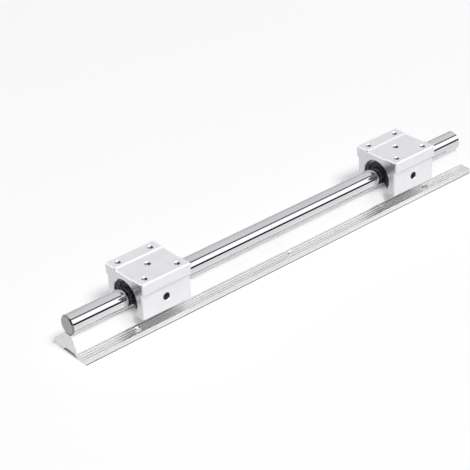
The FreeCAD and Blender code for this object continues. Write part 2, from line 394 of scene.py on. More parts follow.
def shade(piece):
    """Smooth faces with crisp edges, where wide flat faces stay flat."""
    mesh = piece.data
    mesh.shade_smooth()
    mesh.set_sharp_from_angle(angle=CREASE)
    modifier = piece.modifiers.new("normals", "WEIGHTED_NORMAL")
    modifier.keep_sharp = True
    modifier.weight = 90
    baked(piece)


def paint(piece, material, ends=None):
    """Gives a piece its material, and another to the faces that look along X."""
    piece.data.materials.clear()
    piece.data.materials.append(material)
    if ends is not None:
        piece.data.materials.append(ends)
    for face in piece.data.polygons:
        face.material_index = ENDS if ends is not None and abs(face.normal.x) > 0.9 else 0


def add_finishes(piece, *materials):
    """Adds materials to a painted piece and gives their numbers for its faces."""
    start = len(piece.data.materials)
    for material in materials:
        piece.data.materials.append(material)
    return range(start, start + len(materials))


def settle(piece, body, slot, *nodes):
    """Rides a piece on its body in place of its CAD nodes."""
    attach(piece, body)
    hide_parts(*nodes)


# Materials

def grey(tone, cast=0.0):
    """A grey whose blue is shifted by a cast."""
    return (tone, tone, tone + cast)


def finish(name, colour, metallic, roughness, **sockets):
    """A material with one Principled shader, and the plain numbers on its sockets."""
    material = bpy.data.materials.new(name)
    material.use_nodes = True
    nodes = material.node_tree.nodes
    shader = nodes["Principled BSDF"]
    shader.inputs["Base Color"].default_value = (*colour, 1)
    shader.inputs["Metallic"].default_value = metallic
    shader.inputs["Roughness"].default_value = roughness
    for socket, number in sockets.items():
        shader.inputs[socket.replace("_", " ")].default_value = number
    return material


def noise(material, scale, detail=3.0, roughness=0.55):
    """Noise on the Object coordinates, stretched by the three scales."""
    nodes, links = material.node_tree.nodes, material.node_tree.links
    place = nodes.new("ShaderNodeTexCoord")
    stretch = nodes.new("ShaderNodeMapping")
    stretch.inputs["Scale"].default_value = scale
    texture = nodes.new("ShaderNodeTexNoise")
    texture.inputs["Scale"].default_value = 1.0
    texture.inputs["Detail"].default_value = detail
    texture.inputs["Roughness"].default_value = roughness
    links.new(place.outputs["Object"], stretch.inputs["Vector"])
    links.new(stretch.outputs["Vector"], texture.inputs["Vector"])
    return texture.outputs["Fac"]


def roughen(material, source, low, high):
    """Varies the roughness between two numbers by a pattern."""
    nodes, links = material.node_tree.nodes, material.node_tree.links
    node = nodes.new("ShaderNodeMapRange")
    node.inputs["From Min"].default_value = 0.3
    node.inputs["From Max"].default_value = 0.7
    node.inputs["To Min"].default_value = low
    node.inputs["To Max"].default_value = high
    links.new(source, node.inputs["Value"])
    links.new(node.outputs["Result"], nodes["Principled BSDF"].inputs["Roughness"])


def tint(material, source, dark, light, start=0.3, end=0.7):
    """Colours the base between two tones by a pattern."""
    ramp = material.node_tree.nodes.new("ShaderNodeValToRGB")
    ramp.color_ramp.elements[0].position = start
    ramp.color_ramp.elements[0].color = (*dark, 1)
    ramp.color_ramp.elements[1].position = end
    ramp.color_ramp.elements[1].color = (*light, 1)
    links = material.node_tree.links
    links.new(source, ramp.inputs["Fac"])
    shader = material.node_tree.nodes["Principled BSDF"]
    links.new(ramp.outputs["Color"], shader.inputs["Base Color"])


def emboss(material, sources, distance, strength):
    """Raises a surface by the sum of weighted patterns."""
    nodes, links = material.node_tree.nodes, material.node_tree.links
    total = None
    for source, weight in sources:
        scaled = nodes.new("ShaderNodeMath")
        scaled.operation = "MULTIPLY"
        scaled.inputs[1].default_value = weight
        links.new(source, scaled.inputs[0])
        if total is None:
            total = scaled.outputs["Value"]
            continue
        added = nodes.new("ShaderNodeMath")
        added.operation = "ADD"
        links.new(total, added.inputs[0])
        links.new(scaled.outputs["Value"], added.inputs[1])
        total = added.outputs["Value"]
    bump = nodes.new("ShaderNodeBump")
    bump.inputs["Distance"].default_value = distance
    bump.inputs["Strength"].default_value = strength
    links.new(total, bump.inputs["Height"])
    links.new(bump.outputs["Normal"], nodes["Principled BSDF"].inputs["Normal"])


def stretch_gloss(material, amount):
    """Blurs reflections across the die's lines and keeps them sharp along the rail."""
    nodes, links = material.node_tree.nodes, material.node_tree.links
    across = nodes.new("ShaderNodeTangent")
    across.direction_type = "RADIAL"
    across.axis = "X"
    shader = nodes["Principled BSDF"]
    shader.inputs["Anisotropic"].default_value = amount
    links.new(across.outputs["Tangent"], shader.inputs["Tangent"])


def drawn_aluminium(name, tone, smooth, coarse):
    """Clear anodised aluminium with the die's fine lines along it."""
    material = finish(name, grey(tone, -0.01), 1.0, smooth)
    stretch_gloss(material, 0.9)
    lines = noise(material, (2.5, 900.0, 900.0), 5.0, 0.65)
    cloud = noise(material, (18.0, 60.0, 60.0), 3.0)
    tint(material, cloud, grey(tone - 0.03, -0.01), grey(tone + 0.03, -0.01))
    roughen(material, lines, smooth, coarse)
    emboss(material, [(lines, 1.0)], 0.04 * MM, 0.25)
    return material


def pedestal_aluminium():
    """The pedestal's matt drawn flanks."""
    material = finish("pedestal_aluminium", grey(0.93, -0.005), 0.52, 0.38)
    stretch_gloss(material, 0.9)
    lines = noise(material, (2.0, 700.0, 700.0), 4.0, 0.6)
    cloud = noise(material, (12.0, 40.0, 40.0), 3.0)
    tint(material, cloud, grey(0.92, -0.005), grey(0.945, -0.005))
    roughen(material, lines, 0.34, 0.42)
    emboss(material, [(lines, 1.0)], 0.03 * MM, 0.15)
    return material


def satin_aluminium():
    """The housings' satin anodised faces."""
    material = finish("satin_aluminium", grey(0.80, 0.03), 0.6, 0.4)
    grain = noise(material, (5200.0, 5200.0, 5200.0), 3.0, 0.6)
    lines = noise(material, (30.0, 1500.0, 1500.0), 3.0, 0.6)
    cloud = noise(material, (70.0, 90.0, 90.0), 3.0)
    tint(material, cloud, grey(0.75, 0.025), grey(0.79, 0.02))
    roughen(material, grain, 0.34, 0.46)
    emboss(material, [(grain, 0.6), (lines, 0.6)], 0.03 * MM, 0.4)
    return material


def ground_steel():
    """The shaft's ground and polished surface, with faint lines round it."""
    material = finish("ground_steel", grey(0.66, 0.02), 1.0, 0.07)
    rings = noise(material, (5200.0, 60.0, 60.0), 3.0, 0.6)
    smear = noise(material, (25.0, 130.0, 130.0), 3.0)
    tint(material, smear, grey(0.64, 0.02), grey(0.69, 0.02))
    roughen(material, rings, 0.008, 0.022)
    emboss(material, [(rings, 1.0)], 0.003 * MM, 0.1)
    return material


def faced_steel():
    """The shaft's turned ends, with rings about its axis."""
    material = finish("faced_steel", (0.36, 0.36, 0.365), 0.85, 0.45)
    nodes, links = material.node_tree.nodes, material.node_tree.links
    place = nodes.new("ShaderNodeTexCoord")
    centre = nodes.new("ShaderNodeMapping")
    centre.inputs["Location"].default_value = (0, 0, -SHAFT_HEIGHT)
    flatten = nodes.new("ShaderNodeVectorMath")
    flatten.operation = "MULTIPLY"
    flatten.inputs[1].default_value = (0, 1, 1)
    length = nodes.new("ShaderNodeVectorMath")
    length.operation = "LENGTH"
    wave = nodes.new("ShaderNodeTexNoise")
    wave.noise_dimensions = "1D"
    wave.inputs["Scale"].default_value = 4200.0
    wave.inputs["Detail"].default_value = 3.0
    links.new(place.outputs["Object"], centre.inputs["Vector"])
    links.new(centre.outputs["Vector"], flatten.inputs[0])
    links.new(flatten.outputs["Vector"], length.inputs[0])
    links.new(length.outputs["Value"], wave.inputs["W"])
    tint(material, wave.outputs["Fac"], (0.30, 0.30, 0.305), (0.44, 0.44, 0.445))
    roughen(material, wave.outputs["Fac"], 0.36, 0.52)
    emboss(material, [(wave.outputs["Fac"], 1.0)], 0.03 * MM, 0.5)
    return material


def grained(name, colour, metallic, roughness, scale, tones, gloss, relief,
            detail=3.0, fineness=0.55, span=(0.3, 0.7), **sockets):
    """A material whose tone, gloss and relief all follow one noise."""
    material = finish(name, colour, metallic, roughness, **sockets)
    pattern = noise(material, scale, detail, fineness)
    tint(material, pattern, *tones, *span)
    roughen(material, pattern, *gloss)
    emboss(material, [(pattern, 1.0)], *relief)
    return material


def dark_steel(name, tone, roughness):
    """Phosphated or blackened steel, slightly worn."""
    sound, worn = grey(tone * 0.7, tone * 0.05), grey(tone * 1.6, tone * 0.05)
    return grained(name, grey(tone, tone * 0.05), 0.7, roughness, (2600.0, 2600.0, 2600.0), (sound, worn),
                   (roughness - 0.08, roughness + 0.12), (0.02 * MM, 0.4), detail=4.0, fineness=0.6,
                   span=(0.35, 0.75))


# The extrusion: its faces, the walls of its grooves and its outer edges, the latter two in darker tones of
# the same aluminium as painted shade, and its pedestal
DRAWN = drawn_aluminium("drawn_aluminium", 0.93, 0.2, 0.3)
GROOVE_SHADE = drawn_aluminium("groove_painted_shade", 0.68, 0.14, 0.22)
TIP_SHADE = drawn_aluminium("tip_painted_shade", 0.7, 0.17, 0.26)
PEDESTAL = pedestal_aluminium()

# The extrusion's bare sawn ends, with the blade's marks
SAWN = grained("sawn_aluminium", grey(0.78, 0.01), 0.6, 0.42, (50.0, 250.0, 2600.0),
               (grey(0.7, 0.02), grey(0.83, 0.01)), (0.36, 0.52), (0.04 * MM, 0.5), detail=4.0, fineness=0.6)

# The base's lower outer corners, painted near black as a painted contact shadow along the floor
CONTACT_SHADOW_BAND = grained("contact_shadow_aluminium", grey(0.05), 0.0, 0.5, (18.0, 500.0, 500.0),
                  (grey(0.006), grey(0.07, -0.002)), (0.42, 0.62), (0.03 * MM, 0.3), detail=5.0,
                  fineness=0.65, span=(0.4, 0.75), Specular_IOR_Level=0.15)

# The shaft: its ground surface, its faced ends and its turned chamfers, the chamfers darkened as a painted
# dark reflection
GROUND = ground_steel()
FACED = faced_steel()
CHAMFER_REFLECTION = grained("chamfer_painted_dark_reflection", grey(0.5, 0.01), 1.0, 0.16, (900.0, 500.0, 500.0),
               (grey(0.18, 0.005), grey(0.28, 0.005)), (0.12, 0.2), (0.02 * MM, 0.3))

# The housings: satin faces, milled ends and freshly cut bevels, brighter partly as bare cut metal and partly
# as a painted highlight on those that face up, edge the bore or run along the top crests
SATIN = satin_aluminium()
MILLED = grained("milled_aluminium", grey(0.65, 0.03), 0.9, 0.26, (60.0, 1800.0, 160.0),
                 (grey(0.63, 0.03), grey(0.67, 0.03)), (0.25, 0.31), (0.02 * MM, 0.05), fineness=0.6)
CUT_BEVEL_HIGHLIGHT = grained("cut_bevel_painted_highlight", grey(0.9, 0.01), 0.85, 0.22, (900.0, 900.0, 900.0),
                 (grey(0.88, 0.01), grey(0.92, 0.01)), (0.18, 0.28), (0.02 * MM, 0.15))

# The housings' bores, darkened as a painted reflection of the dark bushing, and the walls of drilled and of
# tapped holes, darkened as painted shade
BORE_SHADE = grained("bore_painted_reflection", grey(0.42, 0.02), 1.0, 0.24, (5200.0, 200.0, 200.0),
                (grey(0.36, 0.02), grey(0.48, 0.02)), (0.18, 0.3), (0.01 * MM, 0.25))
HOLE_SHADE = grained("hole_wall_painted_shade", grey(0.12, 0.005), 0.8, 0.5, (2400.0, 2400.0, 2400.0),
              (grey(0.07, 0.005), grey(0.2, 0.005)), (0.42, 0.6), (0.03 * MM, 0.4))
THREAD_SHADE = grained("thread_painted_shade", grey(0.42, 0.01), 0.9, 0.35, (2400.0, 2400.0, 2400.0),
                 (grey(0.24, 0.01), grey(0.42, 0.01)), (0.28, 0.44), (0.02 * MM, 0.3))

# The bushings: ground sleeves, moulded retainers, oiled rubber seals and phosphated rings
SLEEVE = grained("sleeve_steel", grey(0.50, 0.02), 1.0, 0.25, (3600.0, 200.0, 200.0),
                 (grey(0.44, 0.02), grey(0.56, 0.02)), (0.18, 0.34), (0.01 * MM, 0.3))
PLASTIC = grained("moulded_plastic", grey(0.02, 0.002), 0.0, 0.42, (1800.0, 1800.0, 1800.0),
                  (grey(0.016, 0.002), grey(0.03, 0.003)), (0.36, 0.52), (0.02 * MM, 0.3))
RUBBER = grained("black_rubber", grey(0.018, 0.002), 0.0, 0.5, (3200.0, 3200.0, 3200.0),
                 (grey(0.012, 0.002), grey(0.03, 0.002)), (0.35, 0.65), (0.03 * MM, 0.4), detail=4.0)
RING = dark_steel("ring_steel", 0.2, 0.28)

# The screws, and the walls and floor of the set screw's socket, lighter as a painted highlight
BLACK = dark_steel("black_oxide", 0.018, 0.36)
SOCKET_HIGHLIGHT = grained("socket_painted_highlight", grey(0.4, 0.01), 0.9, 0.35, (1800.0, 1800.0, 1800.0),
                 (grey(0.08, 0.005), grey(0.34, 0.005)), (0.28, 0.46), (0.02 * MM, 0.3))


# The rail

def mirrored(half):
    """The other half of a section, in the order that goes on from the first."""
    return [(-across, up, radius) for across, up, radius in reversed(half)]


def rail_outline(margin=0.0):
    """The support's section, from the saddle round by the far side and back, or one drawn in by a margin."""
    seat, lip = SHAFT_RADIUS + SEAT_GAP, NECK_HALF - SADDLE_LIP
    half = [(NECK_HALF, SHAFT_HEIGHT - math.sqrt(seat ** 2 - lip ** 2), NECK_ROUND),
            (FOOT_HALF, FLANGE, FOOT_ROUND)]
    for count in range(GROOVES):
        middle = FIRST_GROOVE + count * GROOVE_PITCH
        half += [(middle - GROOVE_WIDTH / 2, FLANGE, 0),
                 (middle - GROOVE_FLOOR / 2, FLANGE - GROOVE_DEPTH, 0),
                 (middle + GROOVE_FLOOR / 2, FLANGE - GROOVE_DEPTH, 0),
                 (middle + GROOVE_WIDTH / 2, FLANGE, 0)]
    half += [(BASE_HALF, FLANGE, TIP_ROUND), (BASE_HALF, CONTACT_SHADOW_HEIGHT, 0), (BASE_HALF, 0, LOWER_ROUND),
             (RECESS_FOOT_HALF, 0, RECESS_FOOT_ROUND),
             (RECESS_CEILING_HALF, RECESS_DEPTH, RECESS_CEILING_ROUND)]
    radius = seat + margin
    spread = math.degrees(math.asin((lip - margin) / radius))
    saddle = arc((0, SHAFT_HEIGHT), radius, -90 - spread, -90 + spread, SADDLE_STEPS)
    return rounded(drawn_in(half + mirrored(half), margin)) + saddle


def support_rail():
    """The extruded base with its drilled flanges, and its counterbored holes below."""
    piece = prism("support_rail_body", rail_outline(), rail_outline(SAWN_BEVEL), -RAIL_HALF, RAIL_HALF,
                  SAWN_BEVEL)
    rim = FLANGE_HOLE_RADIUS + HOLE_BEVEL
    flange_hole = [(-OVERRUN, 0), (-OVERRUN, rim), (0, rim), (HOLE_BEVEL, FLANGE_HOLE_RADIUS),
                   (FLANGE - HOLE_BEVEL, FLANGE_HOLE_RADIUS), (FLANGE, rim), (FLANGE + OVERRUN, rim),
                   (FLANGE + OVERRUN, 0)]
    screw_hole = [(-OVERRUN, 0), (-OVERRUN, SCREW_HEAD_HOLE_RADIUS), (SCREW_SEAT, SCREW_HEAD_HOLE_RADIUS),
                  (SCREW_SEAT, SCREW_HOLE_RADIUS), (SHAFT_HEIGHT, SCREW_HOLE_RADIUS), (SHAFT_HEIGHT, 0)]
    cutters = []
    for station in STATIONS:
        for across in (-HOLE_ACROSS, HOLE_ACROSS):
            cutters.append(lathe("hole", flange_hole, HOLE_STEPS, (station, across, 0), axis="Z"))
        cutters.append(lathe("hole", screw_hole, HOLE_STEPS, (station, 0, 0), axis="Z"))
    cut(piece, cutters)
    shade(piece)
    paint(piece, DRAWN, SAWN)
    pedestal, contact_shadow, groove, tip = add_finishes(piece, PEDESTAL, CONTACT_SHADOW_BAND, GROOVE_SHADE, TIP_SHADE)
    for face in piece.data.polygons:
        out, up = abs(face.center.y), face.center.z
        along, across = abs(face.normal.x), abs(face.normal.y)
        if across > 0.6 and along < 0.2 and out < FOOT_HALF and up > FLANGE:
            face.material_index = pedestal
        # The flange's outer edge faces are darker as painted shade
        if across > 0.95 and out > BASE_HALF - FACE_SLACK:
            face.material_index = tip
        # The groove walls are darker as painted shade
        sunk = GROOVE_DEPTH * 0.1 < FLANGE - up < GROOVE_DEPTH * 1.1
        if sunk and along < 0.02 and FOOT_HALF < out < BASE_HALF - TIP_ROUND - FACE_SLACK:
            face.material_index = groove
        # The base's lower outer corners carry the painted contact shadow
        if across > 0.05 and along < 0.9 and out > BASE_HALF - CONTACT_SHADOW_WIDTH and up < CONTACT_SHADOW_HEIGHT:
            face.material_index = contact_shadow
    settle(piece, "rail", "support_aluminium", "support_rail")


def round_shaft():
    """The polished shaft with its chamfered ends and its tapped holes below."""
    end, rim = RAIL_HALF, SHAFT_RADIUS - SHAFT_CHAMFER
    profile = [(-end, 0), (-end, rim), (SHAFT_CHAMFER - end, SHAFT_RADIUS),
               (end - SHAFT_CHAMFER, SHAFT_RADIUS), (end, rim), (end, 0)]
    piece = lathe("round_shaft_body", profile, SHAFT_STEPS, (0, 0, SHAFT_HEIGHT))
    tapped = [(-OVERRUN, 0), (-OVERRUN, SCREW_RADIUS), (TAPPED_DEPTH, SCREW_RADIUS), (TAPPED_DEPTH, 0)]
    cut(piece, [lathe("hole", tapped, TAPPED_STEPS, (station, 0, SHAFT_HEIGHT - SHAFT_RADIUS), axis="Z")
                for station in STATIONS])
    shade(piece)
    paint(piece, GROUND, FACED)
    chamfer, = add_finishes(piece, CHAMFER_REFLECTION)
    # The chamfers take the painted dark reflection
    for face in piece.data.polygons:
        if 0.3 < abs(face.normal.x) < 0.9:
            face.material_index = chamfer
    settle(piece, "rail", "shaft_steel", "round_shaft")


def shaft_screws():
    """The socket head screws under the base."""
    bottom, tip = SCREW_SEAT - SCREW_HEAD_HEIGHT, SHAFT_HEIGHT
    shank = SCREW_RADIUS - SCREW_GAP
    profile = [(bottom, 0), (bottom, SCREW_HEAD_RADIUS - SCREW_EDGE),
               (bottom + SCREW_EDGE, SCREW_HEAD_RADIUS), (SCREW_SEAT, SCREW_HEAD_RADIUS),
               (SCREW_SEAT, shank), (tip - SCREW_EDGE, shank), (tip, shank - SCREW_EDGE), (tip, 0)]
    for number, station in enumerate(STATIONS, start=1):
        place = (station, 0, 0)
        piece = lathe("shaft_screw_body_%d" % number, profile, HOLE_STEPS, place, axis="Z")
        cut(piece, [hexagon_bar("key", SCREW_KEY, bottom - OVERRUN, bottom + KEY_DEPTH, place, "Z")])
        shade(piece)
        paint(piece, BLACK)
        settle(piece, "rail", "screw_steel", "shaft_screw_%d" % number)


# The carriages

def housing_outline(margin=0.0):
    """The housing's section with its bore and the opening between its legs, or one drawn in by a margin."""
    low = HOUSING_HALF - SHOULDER_INSET
    half = [(CHANNEL_HALF, HOUSING_TOP - CHANNEL_DEPTH, CHANNEL_FOOT_ROUND),
            (CHANNEL_HALF + CHANNEL_SLOPE, HOUSING_TOP, CHANNEL_EDGE_ROUND),
            (HOUSING_HALF - EDGE_CHAMFER, HOUSING_TOP, CORNER_ROUND),
            (HOUSING_HALF, HOUSING_TOP - EDGE_CHAMFER, CORNER_ROUND),
            (HOUSING_HALF, HOUSING_TOP - SHOULDER_DEPTH, CORNER_ROUND),
            (low, HOUSING_TOP - SHOULDER_DEPTH - SHOULDER_SLOPE, SHOULDER_ROUND),
            (low, -HOUSING_BOTTOM, LEG_ROUND),
            (LEG_HALF, -HOUSING_BOTTOM, SHARP),
            (LEG_HALF, -math.sqrt(BORE_RADIUS ** 2 - LEG_HALF ** 2), 0)]
    corners = drawn_in(half + mirrored(half), margin)
    bore_radius, foot = BORE_RADIUS + margin, HOUSING_BOTTOM - margin
    leg = max(LEG_HALF + margin, math.sqrt(bore_radius ** 2 - (foot - LEG_WALL_LEAST) ** 2))
    heel = -math.sqrt(bore_radius ** 2 - leg ** 2)
    last = len(half)
    corners[last - 2:last + 2] = [(leg, -foot, SHARP), (leg, heel, 0), (-leg, heel, 0), (-leg, -foot, SHARP)]
    both = rounded(corners)
    middle = len(both) // 2
    drop = math.degrees(math.asin(leg / bore_radius))
    bore = arc((0, 0), bore_radius, -90 + drop, 270 - drop, BORE_STEPS)
    outline = both[:middle] + bore[1:-1] + both[middle:]
    return [(across, up + SHAFT_HEIGHT) for across, up in outline]


def mount_places(centre):
    """The mounting holes' places along and across the rail."""
    return [(centre + along, across) for along in (-MOUNT_ALONG, MOUNT_ALONG)
            for across in (-MOUNT_ACROSS, MOUNT_ACROSS)]


def finish_cuts(piece, centre):
    """Gives the drilled holes and the bore their painted shade and painted reflection, and the upward end
    bevels, the bevels round the bore and the top crests their painted highlight.
    """
    drilled, bevel, bored = add_finishes(piece, HOLE_SHADE, CUT_BEVEL_HIGHLIGHT, BORE_SHADE)
    top = SHAFT_HEIGHT + HOUSING_TOP
    holes = mount_places(centre) + [(centre, 0)]
    for face in piece.data.polygons:
        along, out = abs(face.center.x - centre), abs(face.center.y)
        reach = math.hypot(face.center.y, face.center.z - SHAFT_HEIGHT)
        # End bevels that face up or edge the bore take the painted highlight; the other end bevels take the
        # ends' material
        if along > HOUSING_HALF - END_BEVEL and 0.15 < abs(face.normal.x) < 0.9:
            upward = face.normal.z > 0.3
            face.material_index = bevel if upward or reach < BORE_RADIUS + END_BEVEL else ENDS
        # The top crests take the painted highlight
        crest = face.center.z > top - EDGE_CHAMFER and out > HOUSING_HALF - EDGE_CHAMFER
        if crest and 0.2 < abs(face.normal.y) < 0.98:
            face.material_index = bevel
        # The bore's wall takes the painted reflection of the dark bushing
        if reach < BORE_RADIUS + RING_GROOVE_DEPTH + FACE_SLACK and along < HOUSING_HALF - END_BEVEL:
            face.material_index = bored
        # The walls of the drilled holes and of the set screw's hole take the painted shade
        points = [piece.data.vertices[index].co for index in face.vertices]
        if min(point.z for point in points) > top - COUNTERSINK - FACE_SLACK:
            continue
        for x, y in holes:
            if all(math.hypot(point.x - x, point.y - y) < THREAD_RADIUS + HOLE_SLACK for point in points):
                face.material_index = drilled
        if all(math.hypot(point.x - centre, point.z - SHAFT_HEIGHT) < SET_SCREW_RADIUS + HOLE_SLACK
               and point.y < 0 for point in points):
            face.material_index = drilled


def thread(name, length, places):
    """Helical thread ridges inside drilled holes, each from the lower end of its thread."""
    tree = bpy.data.node_groups.new(name, "GeometryNodeTree")
    face = tree.interface
    face.new_socket("Geometry", in_out="INPUT", socket_type="NodeSocketGeometry")
    numbers = {"Hole radius": THREAD_RADIUS + RIDGE_SINK, "Pitch": THREAD_PITCH, "Length": length,
               "Ridge": RIDGE_SHARE * THREAD_PITCH}
    keys = {}
    for title in numbers:
        keys[title] = face.new_socket(title, in_out="INPUT", socket_type="NodeSocketFloat").identifier
    face.new_socket("Geometry", in_out="OUTPUT", socket_type="NodeSocketGeometry")
    nodes, links = tree.nodes, tree.links
    given, result = nodes.new("NodeGroupInput"), nodes.new("NodeGroupOutput")
    turns = nodes.new("ShaderNodeMath")
    turns.operation = "DIVIDE"
    links.new(given.outputs["Length"], turns.inputs[0])
    links.new(given.outputs["Pitch"], turns.inputs[1])
    helix = nodes.new("GeometryNodeCurveSpiral")
    helix.inputs["Resolution"].default_value = THREAD_STEPS
    links.new(turns.outputs["Value"], helix.inputs["Rotations"])
    links.new(given.outputs["Hole radius"], helix.inputs["Start Radius"])
    links.new(given.outputs["Hole radius"], helix.inputs["End Radius"])
    links.new(given.outputs["Length"], helix.inputs["Height"])
    ridge = nodes.new("GeometryNodeCurvePrimitiveCircle")
    ridge.inputs["Resolution"].default_value = RIDGE_SIDES
    links.new(given.outputs["Ridge"], ridge.inputs["Radius"])
    sweep = nodes.new("GeometryNodeCurveToMesh")
    sweep.inputs["Fill Caps"].default_value = True
    links.new(helix.outputs["Curve"], sweep.inputs["Curve"])
    links.new(ridge.outputs["Curve"], sweep.inputs["Profile Curve"])
    spots = nodes.new("GeometryNodeMeshToPoints")
    links.new(given.outputs["Geometry"], spots.inputs["Mesh"])
    copies = nodes.new("GeometryNodeInstanceOnPoints")
    links.new(spots.outputs["Points"], copies.inputs["Points"])
    links.new(sweep.outputs["Mesh"], copies.inputs["Instance"])
    real = nodes.new("GeometryNodeRealizeInstances")
    coat = nodes.new("GeometryNodeSetMaterial")
    # The thread ridges take the darker thread material, painted shade inside the holes
    coat.inputs["Material"].default_value = THREAD_SHADE
    links.new(copies.outputs["Instances"], real.inputs["Geometry"])
    links.new(real.outputs["Geometry"], coat.inputs["Geometry"])
    links.new(coat.outputs["Geometry"], result.inputs["Geometry"])

    mesh = bpy.data.meshes.new(name)
    mesh.from_pydata(places, [], [])
    piece = new_object(name, mesh)
    modifier = piece.modifiers.new("ridges", "NODES")
    modifier.node_group = tree
    for title, number in numbers.items():
        modifier[keys[title]] = number
    baked(piece)
    work = bmesh.new()
    work.from_mesh(piece.data)
    bmesh.ops.recalc_face_normals(work, faces=work.faces)
    work.to_mesh(piece.data)
    work.free()
    piece.data.shade_smooth()
    return piece


def threads(side, centre):
    """The cut threads of the housing's mounting holes and of its grease hole."""
    top = SHAFT_HEIGHT + HOUSING_TOP
    mounts = [(x, y, top - MOUNT_DEPTH + THREAD_RUNOUT) for x, y in mount_places(centre)]
    grease = [(centre, 0, top - CHANNEL_DEPTH - COUNTERSINK - GREASE_THREAD)]
    for piece in (thread(side + "_mount_threads", MOUNT_THREAD, mounts),
                  thread(side + "_grease_thread", GREASE_THREAD, grease)):
        settle(piece, side + "_carriage", "housing_aluminium", side + "_housing")


def housing(side, centre):
    """The satin block, bored, drilled and grooved."""
    piece = prism(side + "_housing_body", housing_outline(), housing_outline(END_BEVEL),
                  centre - HOUSING_HALF, centre + HOUSING_HALF, END_BEVEL)
    place, top = (centre, 0, SHAFT_HEIGHT), SHAFT_HEIGHT + HOUSING_TOP
    rim = THREAD_CORE + COUNTERSINK
    mount = [(OVERRUN, 0), (OVERRUN, rim), (0, rim), (-COUNTERSINK, THREAD_CORE),
             (-COUNTERSINK, THREAD_RADIUS), (-MOUNT_DEPTH, THREAD_RADIUS), (-MOUNT_DEPTH - DRILL_POINT, 0)]
    cutters = [lathe("hole", mount, HOLE_STEPS, (x, y, top), axis="Z") for x, y in mount_places(centre)]
    rim = THREAD_CORE + GREASE_RIM
    grease = [(OVERRUN, 0), (OVERRUN, rim), (0, rim), (-COUNTERSINK, THREAD_CORE + GREASE_THROAT),
              (-COUNTERSINK, THREAD_RADIUS), (-GREASE_DEPTH, THREAD_RADIUS), (-GREASE_DEPTH, 0)]
    cutters.append(lathe("hole", grease, HOLE_STEPS, (centre, 0, top - CHANNEL_DEPTH), axis="Z"))
    wall, rim = SHOULDER_INSET - HOUSING_HALF, SET_SCREW_RADIUS + SET_SCREW_RIM
    tapped = [(wall - OVERRUN, 0), (wall - OVERRUN, rim), (wall, rim),
              (wall + SET_SCREW_RIM, SET_SCREW_RADIUS), (-AIR_RADIUS, SET_SCREW_RADIUS), (-AIR_RADIUS, 0)]
    cutters.append(lathe("hole", tapped, HOLE_STEPS, place, axis="Y"))
    for sign in (-1, 1):
        near, far = sign * BUSHING_HALF, sign * (BUSHING_HALF + RING_GROOVE_WIDTH)
        floor_radius = BORE_RADIUS + RING_GROOVE_DEPTH
        ring = [(near, AIR_RADIUS), (near, floor_radius), (far, floor_radius), (far, AIR_RADIUS)]
        cutters.append(lathe("groove", ring, BUSHING_STEPS, place))
    cut(piece, cutters)
    shade(piece)
    paint(piece, SATIN, MILLED)
    finish_cuts(piece, centre)
    settle(piece, side + "_carriage", "housing_aluminium", side + "_housing")


def open_ring(side, part, centre, profile, steps, sweep, material, slot):
    """One of the bushing's pieces, turned about the shaft and open below."""
    name = "%s_%s" % (side, part)
    piece = lathe(name + "_body", profile, steps, (centre, 0, SHAFT_HEIGHT), sweep=sweep)
    shade(piece)
    paint(piece, material)
    settle(piece, side + "_carriage", slot, name)


def bushing(side, centre):
    """The open ball bushing: steel sleeve, retainer, seals and snap rings."""
    outer = BORE_RADIUS - BUSHING_GAP
    inner = outer - SLEEVE_WALL
    half, edge = BUSHING_HALF, SLEEVE_EDGE
    profile = [(-half, inner), (-half, outer - edge), (-half + edge, outer), (half - edge, outer),
               (half, outer - edge), (half, inner)]
    open_ring(side, "sleeve", centre, profile, BUSHING_STEPS, BUSHING_SWEEP, SLEEVE, "sleeve_steel")

    reach, rim, track = half - RETAINER_INSET, inner - BUSHING_GAP, SHAFT_RADIUS + RETAINER_GAP
    profile = [(-reach, track), (-reach, rim), (reach, rim), (reach, track)]
    open_ring(side, "retainer", centre, profile, BORE_STEPS, BUSHING_SWEEP, PLASTIC, "retainer_plastic")

    face, lip = half - SEAL_RECESS, SHAFT_RADIUS + SEAL_GAP
    back = face - SEAL_THICKNESS
    seal = [(back, lip + SEAL_ROOT), (back, rim), (face - SEAL_EDGE, rim), (face, rim - SEAL_EDGE)]
    seal += [(face - behind, lip + over) for behind, over in SEAL_LIP]
    near, far = half + RING_GAP, half + RING_GAP + RING_THICKNESS
    top, soft = BORE_RADIUS + RING_GROOVE_DEPTH - RING_GAP, RING_EDGE
    low = top - RING_HEIGHT
    ring = [(near + soft, low), (near, low + soft), (near, top - soft), (near + soft, top),
            (far - soft, top), (far, top - soft), (far, low + soft), (far - soft, low)]
    for end, sign in (("front", -1), ("rear", 1)):
        profile = [(sign * along, radius) for along, radius in seal]
        open_ring(side, end + "_seal", centre, profile, BUSHING_STEPS, BUSHING_SWEEP, RUBBER, "seal_rubber")
        profile = [(sign * along, radius) for along, radius in ring]
        open_ring(side, end + "_snap_ring", centre, profile, BUSHING_STEPS, RING_SWEEP, RING, "ring_steel")


